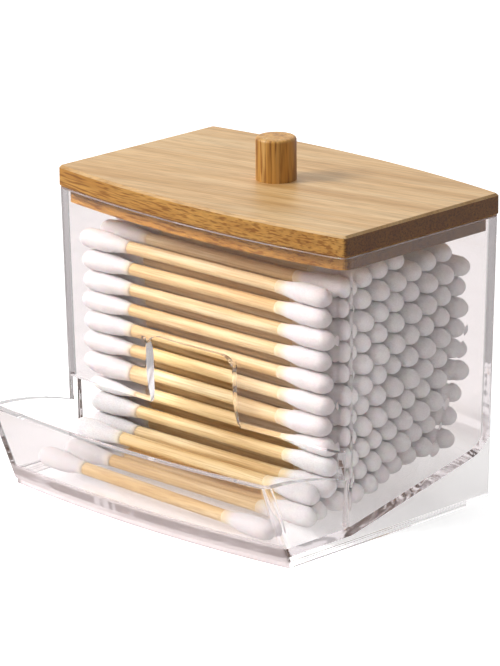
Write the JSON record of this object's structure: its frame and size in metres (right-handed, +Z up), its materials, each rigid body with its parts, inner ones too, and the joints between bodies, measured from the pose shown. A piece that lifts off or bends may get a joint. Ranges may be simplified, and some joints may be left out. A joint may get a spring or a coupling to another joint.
{
  "type": "cotton swab holder",
  "caption": "Clear moulded box with an open front tray, a ramped floor and a bowed wooden lid with a knob, filled with wooden-stick cotton swabs",
  "frame": {"origin": "middle of the footprint, at the table the holder stands on", "axes": "+X along the lid's width, +Y from the tray at the front to the back wall, +Z up"},
  "size_m": [0.085, 0.0764, 0.0766],
  "materials": {
    "clear_plastic": "clear, polished",
    "wood": "satin lacquer",
    "stick_wood": "raw, smooth",
    "cotton": "matt fibre",
    "steel": "bright"
  },
  "bodies": {
    "base": {"clear_box": "clear_plastic", "sticks_1": "stick_wood", "sticks_2": "stick_wood", "sticks_3": "stick_wood", "sticks_4": "stick_wood", "sticks_5": "stick_wood", "sticks_6": "stick_wood", "sticks_7": "stick_wood", "sticks_8": "stick_wood", "sticks_9": "stick_wood", "buds_1": "cotton", "buds_2": "cotton", "buds_3": "cotton", "buds_4": "cotton", "buds_5": "cotton", "buds_6": "cotton", "buds_7": "cotton", "buds_8": "cotton", "buds_9": "cotton", "tray_sticks": "stick_wood", "tray_buds": "cotton"},
    "lid": {"lid": "wood", "knob": "wood", "knob_screw": "steel"}
  },
  "joints": [
    {"name": "lid_lift", "type": "slide", "parent": "base", "child": "lid", "axis": [0, 0, 1], "range_m": [0, 0.04]}
  ]
}
